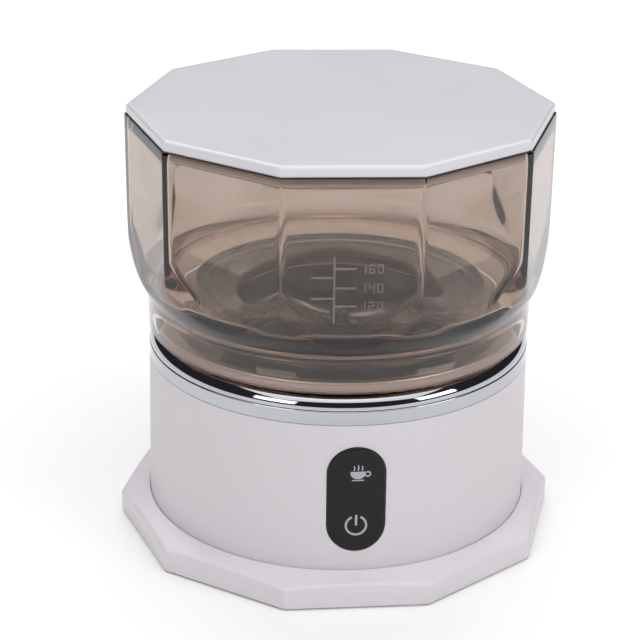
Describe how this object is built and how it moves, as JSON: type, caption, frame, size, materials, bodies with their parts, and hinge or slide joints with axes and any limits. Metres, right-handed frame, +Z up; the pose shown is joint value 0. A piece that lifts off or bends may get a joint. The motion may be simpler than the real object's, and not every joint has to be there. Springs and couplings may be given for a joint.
{
  "type": "milk frother",
  "caption": "Ten-sided smoky clear cup with a lid and a steel bowl, standing on a round heated base that turns a whisk by magnets.",
  "frame": {"origin": "middle of the bottom, on the surface that the rubber feet stand on", "axes": "+Z up along the axis of the base, the whisk and the motor; -Y towards the touch panel; +X to the right as one faces the panel, through a corner of the ten-sided foot"},
  "size_m": [0.1, 0.0952, 0.0981],
  "materials": {
    "white_gloss": "moulded, polished",
    "white_satin": "moulded, fine satin",
    "white_foot": "moulded, soft gloss",
    "silicone": "moulded silicone",
    "smoky_clear": "moulded clear, smoky tint",
    "scale_marks": "raised, frosted",
    "bowl_steel": "drawn, polished",
    "dish_steel": "spun, polished",
    "dark_plastic": "moulded, glass filled",
    "fastener_steel": "zinc plated",
    "zinc_steel": "pressed, zinc plated",
    "coil_steel": "drawn wire",
    "element_steel": "heat tinted",
    "magnet": "nickel plated",
    "chrome_plate": "plated, mirror",
    "foot_rubber": "moulded",
    "panel_black": "hard coated",
    "icon_grey": "screen printed",
    "circuit_board": "solder mask",
    "heater_aluminium": "machined",
    "mica": "pressed sheet",
    "brass_tip": "turned",
    "ceramic_white": "glazed",
    "copper": "enamelled winding",
    "bronze": "sintered, oiled",
    "capacitor_sleeve": "shrink sleeve",
    "transformer_tape": "wound tape",
    "inlet_black": "moulded",
    "pin_nickel": "nickel plated",
    "wire_sleeve": "extruded",
    "wire_glass": "braided sleeve"
  },
  "bodies": {
    "base": {"seat_dish": "dish_steel", "top_collar": "white_satin", "chrome_ring": "chrome_plate", "body_shell": "white_satin", "foot": "white_foot", "rubber_feet": "foot_rubber", "base_screws": "fastener_steel", "touch_lens": "panel_black", "cup_icon": "icon_grey", "power_icon": "icon_grey", "touch_board": "circuit_board", "touch_springs": "coil_steel", "heater_plate": "heater_aluminium", "heater_gasket": "silicone", "heater_element": "element_steel", "insulation_ring": "mica", "heater_clamp": "zinc_steel", "heater_studs": "fastener_steel", "heater_nuts": "fastener_steel", "drive_cover": "dark_plastic", "probe_spring": "coil_steel", "thermostat": "dark_plastic", "thermal_fuse": "ceramic_white", "motor_can": "zinc_steel", "motor_endcap": "white_satin", "motor_field_magnets": "magnet", "motor_bearings": "bronze", "motor_damper": "foot_rubber", "motor_mount": "white_satin", "mount_screws": "fastener_steel", "main_board": "circuit_board", "board_capacitor": "capacitor_sleeve", "board_transformer": "transformer_tape", "board_relay": "dark_plastic", "board_connectors": "white_satin", "inlet_socket": "inlet_black", "inlet_pins": "pin_nickel", "inlet_wires": "wire_sleeve", "motor_wires": "wire_sleeve", "heater_wires": "wire_glass", "touch_ribbon": "wire_glass"},
    "cup": {"cup_shell": "smoky_clear", "volume_scale": "scale_marks", "steel_bowl": "bowl_steel", "bowl_gasket": "silicone", "clamp_ring": "smoky_clear", "whisk_pin": "fastener_steel"},
    "lid": {"lid": "white_gloss", "lid_seal": "silicone"},
    "whisk": {"whisk_hub": "dark_plastic", "whisk_magnets": "magnet", "whisk_coil": "coil_steel"},
    "rotor": {"drive_disc": "white_satin", "drive_magnets": "magnet", "motor_shaft": "fastener_steel", "motor_armature": "copper", "motor_commutator": "copper"},
    "probe": {"probe_tip": "brass_tip"}
  },
  "joints": [
    {"name": "cup_lift", "type": "slide", "parent": "base", "child": "cup", "axis": [0, 0, 1], "range_m": [0, 0.07]},
    {"name": "lid_lift", "type": "slide", "parent": "cup", "child": "lid", "axis": [0, 0, 1], "range_m": [0, 0.04]},
    {"name": "rotor_spin", "type": "hinge", "parent": "base", "child": "rotor", "pos_m": [0, 0, 0.015], "axis": [0, 0, 1], "continuous": true},
    {"name": "whisk_spin", "type": "hinge", "parent": "cup", "child": "whisk", "pos_m": [0, 0, 0.04], "axis": [0, 0, 1], "continuous": true},
    {"name": "probe_press", "type": "slide", "parent": "base", "child": "probe", "axis": [0, 0, 1], "range_m": [-0.0006, 0], "stiffness_N_per_m": 400, "springref_m": 0.002, "deforming": ["probe_spring"]}
  ],
  "couplings": [
    {"joint": "whisk_spin", "follows": "rotor_spin", "ratio": 1}
  ]
}
